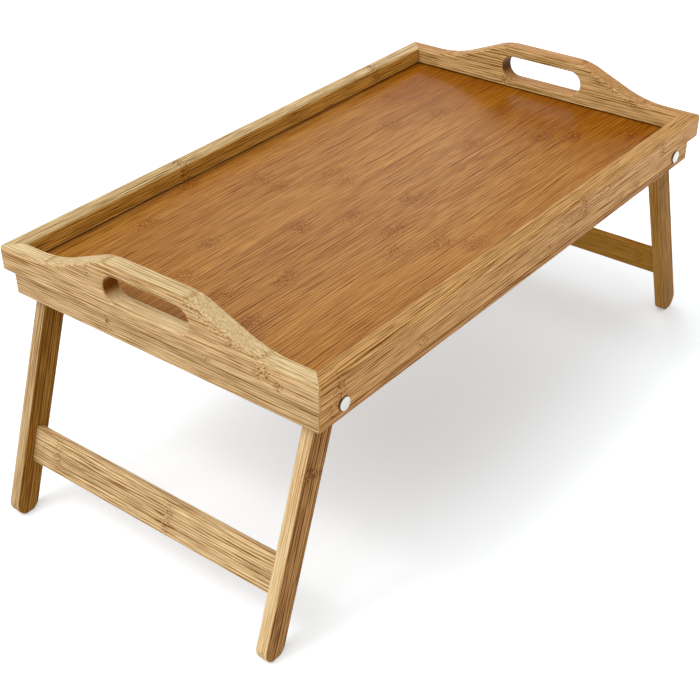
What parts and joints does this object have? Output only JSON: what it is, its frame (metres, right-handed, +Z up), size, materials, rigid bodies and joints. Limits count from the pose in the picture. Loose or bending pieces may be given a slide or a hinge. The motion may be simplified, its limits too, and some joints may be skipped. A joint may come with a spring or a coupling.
{
  "type": "bed tray",
  "caption": "Rectangular bamboo serving tray with arched, slotted end handles, standing on leg frames that fold flat beneath it.",
  "frame": {"origin": "on the floor, under the middle of the tray, with the legs open", "axes": "+X along the tray from the left handle to the right one, +Y across it from the front side rail to the back one, +Z up"},
  "size_m": [0.5852, 0.29, 0.2316],
  "materials": {
    "side_rail_bamboo": "satin clear lacquer",
    "end_rail_bamboo": "satin clear lacquer",
    "panel_bamboo": "satin clear lacquer over carbonised bamboo",
    "leg_bamboo": "satin clear lacquer",
    "stretcher_bamboo": "satin clear lacquer",
    "dowel_bamboo": "bare",
    "nickel_steel": "satin nickel plate",
    "washer_nylon": "matte"
  },
  "bodies": {
    "tray": {"front_side_rail": "side_rail_bamboo", "back_side_rail": "side_rail_bamboo", "left_end_rail": "end_rail_bamboo", "right_end_rail": "end_rail_bamboo", "tray_panel": "panel_bamboo", "corner_dowel_front_left": "dowel_bamboo", "corner_dowel_front_right": "dowel_bamboo", "corner_dowel_back_left": "dowel_bamboo", "corner_dowel_back_right": "dowel_bamboo", "pivot_bolt_front_left": "nickel_steel", "pivot_bolt_front_right": "nickel_steel", "pivot_bolt_back_left": "nickel_steel", "pivot_bolt_back_right": "nickel_steel", "pivot_sleeve_front_left": "nickel_steel", "pivot_sleeve_front_right": "nickel_steel", "pivot_sleeve_back_left": "nickel_steel", "pivot_sleeve_back_right": "nickel_steel", "pivot_washer_front_left": "washer_nylon", "pivot_washer_front_right": "washer_nylon", "pivot_washer_back_left": "washer_nylon", "pivot_washer_back_right": "washer_nylon"},
    "left_leg_frame": {"front_left_leg": "leg_bamboo", "back_left_leg": "leg_bamboo", "left_stretcher": "stretcher_bamboo", "stretcher_dowel_front_left_upper": "dowel_bamboo", "stretcher_dowel_front_left_lower": "dowel_bamboo", "stretcher_dowel_back_left_upper": "dowel_bamboo", "stretcher_dowel_back_left_lower": "dowel_bamboo"},
    "right_leg_frame": {"front_right_leg": "leg_bamboo", "back_right_leg": "leg_bamboo", "right_stretcher": "stretcher_bamboo", "stretcher_dowel_front_right_upper": "dowel_bamboo", "stretcher_dowel_front_right_lower": "dowel_bamboo", "stretcher_dowel_back_right_upper": "dowel_bamboo", "stretcher_dowel_back_right_lower": "dowel_bamboo"}
  },
  "joints": [
    {"name": "left_legs_fold", "type": "hinge", "parent": "tray", "child": "left_leg_frame", "pos_m": [-0.22115, 0, 0.18017], "axis": [0, 1, 0], "range_deg": [-109.8, 0]},
    {"name": "right_legs_fold", "type": "hinge", "parent": "tray", "child": "right_leg_frame", "pos_m": [0.22115, 0, 0.18017], "axis": [0, 1, 0], "range_deg": [0, 109.8]}
  ]
}
